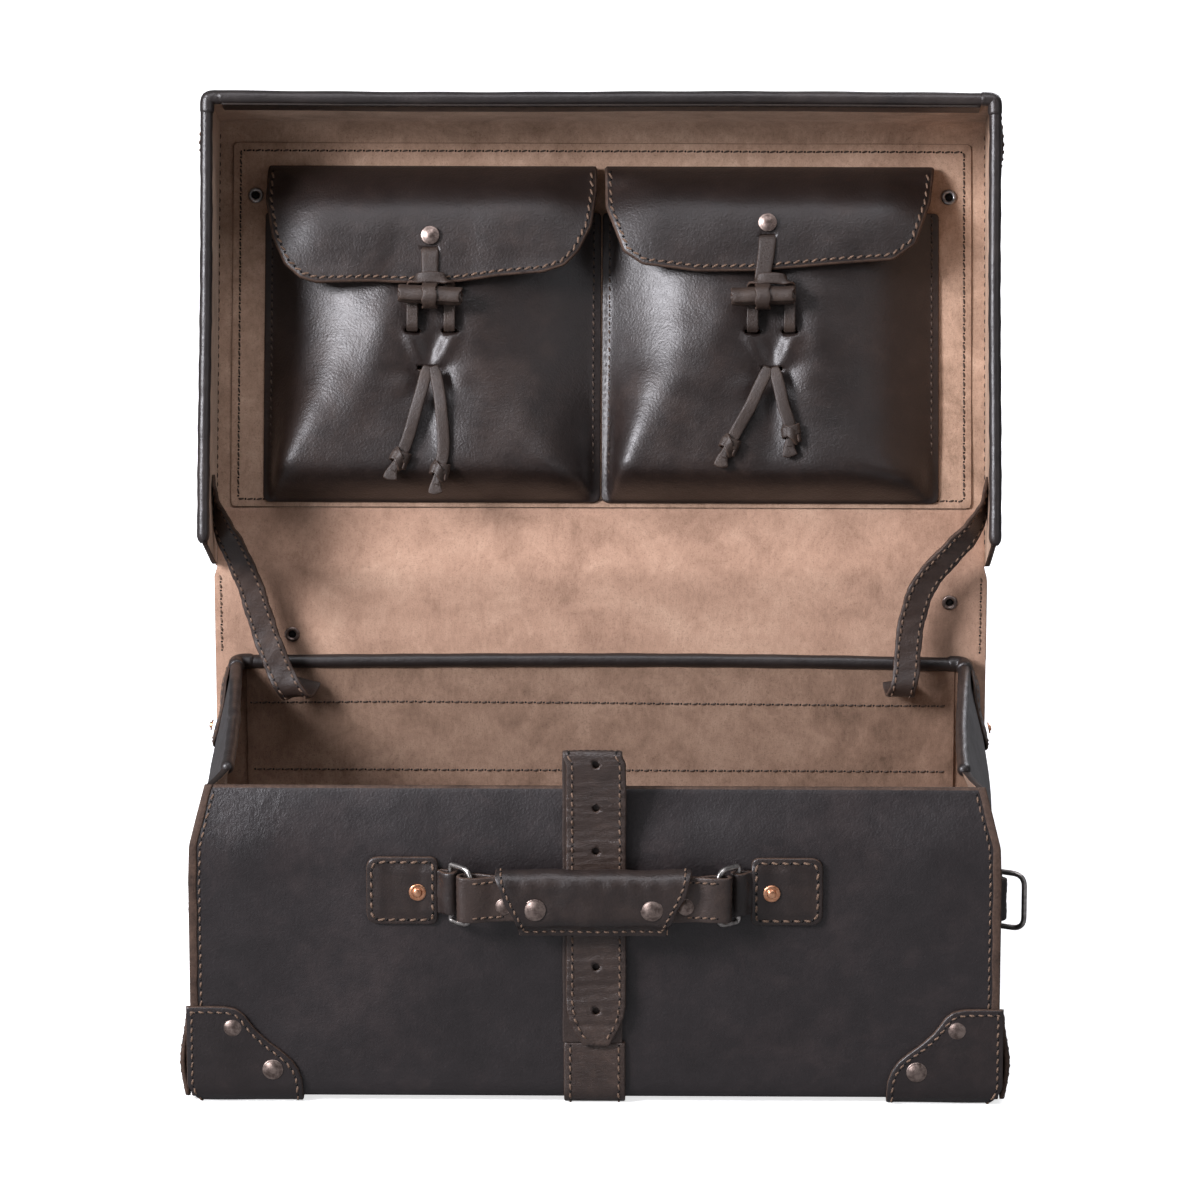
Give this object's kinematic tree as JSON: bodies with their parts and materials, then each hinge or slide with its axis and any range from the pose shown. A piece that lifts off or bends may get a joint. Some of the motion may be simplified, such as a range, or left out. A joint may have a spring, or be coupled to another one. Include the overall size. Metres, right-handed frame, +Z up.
{
  "type": "overnight case",
  "caption": "Low leather overnight case with a hinged lid, two flapped pockets inside the lid, a belt, a front handle on rings and corner caps",
  "frame": {"origin": "centre of the underside, on the surface that the case stands on", "axes": "+Z up, front with the handle faces -Y, +X to the right seen from the front"},
  "size_m": [0.5319, 0.4108, 0.5771],
  "materials": {
    "leather": "waxed pull-up leather, dark brown to black, with a soft bluish sheen on the bends",
    "brown_leather": "waxed strap leather, browner, with lighter creases",
    "suede": "tan suede side of the leather, soft and matt",
    "antique_metal": "antique finish, worn brighter on the edges",
    "copper": "hammered copper, satin"
  },
  "bodies": {
    "case": {"body_wrap": "leather", "end_panel_left": "leather", "end_panel_right": "leather", "rear_lining": "suede", "base_board": "suede", "body_piping": "leather", "corner_cap_front_left": "leather", "corner_cap_front_right": "leather", "corner_cap_rear_left": "leather", "corner_cap_rear_right": "leather", "corner_rivets": "antique_metal", "hinge_cap_left": "leather", "hinge_cap_right": "leather", "handle_patch_left": "leather", "handle_patch_right": "leather", "end_patch_left": "leather", "end_patch_right": "leather", "copper_rivets": "copper", "belt_sewn": "brown_leather", "belt_free": "brown_leather", "hinge_flap": "suede", "hinge_ear_left": "leather", "hinge_ear_right": "leather", "stay_left": "brown_leather", "stay_right": "brown_leather"},
    "lid": {"lid_shell": "leather", "lid_side_left": "leather", "lid_side_right": "leather", "lid_piping": "leather", "lid_lining": "suede", "lid_cap_left": "leather", "lid_cap_right": "leather", "lid_rivets": "antique_metal", "pocket_left": "leather", "pocket_right": "leather", "pocket_loop_left": "brown_leather", "pocket_loop_right": "brown_leather", "thong_left_a": "brown_leather", "thong_left_b": "brown_leather", "thong_right_a": "brown_leather", "thong_right_b": "brown_leather", "buckle_strap": "brown_leather"},
    "handle": {"handle_strap": "brown_leather", "grip_core": "brown_leather", "grip_sleeve": "leather", "grip_rivets": "antique_metal"},
    "handle_ring_left": {"handle_ring_left": "antique_metal"},
    "handle_ring_right": {"handle_ring_right": "antique_metal"},
    "end_ring_left": {"end_ring_left": "antique_metal"},
    "end_ring_right": {"end_ring_right": "antique_metal"},
    "flap_left": {"pocket_flap_left": "leather", "flap_rivet_left": "antique_metal", "tab_left": "brown_leather", "toggle_left": "brown_leather"},
    "flap_right": {"pocket_flap_right": "leather", "flap_rivet_right": "antique_metal", "tab_right": "brown_leather", "toggle_right": "brown_leather"},
    "buckle": {"buckle_frame": "antique_metal"},
    "prong": {"buckle_prong": "antique_metal"}
  },
  "joints": [
    {"name": "lid_hinge", "type": "hinge", "parent": "case", "child": "lid", "pos_m": [0, 0.14175, 0.266], "axis": [1, 0, 0], "range_deg": [0, 110], "deforming": ["stay_left", "stay_right", "belt_free"]},
    {"name": "handle_slide", "type": "slide", "parent": "case", "child": "handle", "axis": [0, -1, 0], "range_m": [0, 0.0025]},
    {"name": "handle_ring_left_turn", "type": "hinge", "parent": "case", "child": "handle_ring_left", "pos_m": [-0.0885, -0.145, 0.139], "axis": [0, 0, 1], "range_deg": [-17, 0]},
    {"name": "handle_ring_right_turn", "type": "hinge", "parent": "case", "child": "handle_ring_right", "pos_m": [0.0885, -0.145, 0.139], "axis": [0, 0, 1], "range_deg": [0, 17]},
    {"name": "end_ring_right_swing", "type": "hinge", "parent": "case", "child": "end_ring_right", "pos_m": [0.255, -0.017, 0.095], "axis": [0, 0, 1], "range_deg": [-60, 105]},
    {"name": "end_ring_left_swing", "type": "hinge", "parent": "case", "child": "end_ring_left", "pos_m": [-0.255, -0.017, 0.095], "axis": [0, 0, 1], "range_deg": [0, 160]},
    {"name": "pocket_flap_left_lift", "type": "hinge", "parent": "lid", "child": "flap_left", "pos_m": [-0.11, 0.22745, 0.51681], "axis": [-1, 0, 0], "range_deg": [0, 40], "deforming": ["pocket_loop_left"]},
    {"name": "pocket_flap_right_lift", "type": "hinge", "parent": "lid", "child": "flap_right", "pos_m": [0.11, 0.22745, 0.51681], "axis": [-1, 0, 0], "range_deg": [0, 40], "deforming": ["pocket_loop_right"]},
    {"name": "buckle_swing", "type": "hinge", "parent": "lid", "child": "buckle", "pos_m": [0, 0.22676, 0.47982], "axis": [-1, 0, 0], "range_deg": [0, 85]},
    {"name": "prong_swing", "type": "hinge", "parent": "buckle", "child": "prong", "pos_m": [0, 0.22676, 0.47982], "axis": [-1, 0, 0], "range_deg": [0, 24]}
  ],
  "couplings": [
    {"joint": "handle_ring_left_turn", "follows": "handle_slide", "rad_per_m": -89.86},
    {"joint": "handle_ring_right_turn", "follows": "handle_slide", "rad_per_m": 89.86}
  ]
}
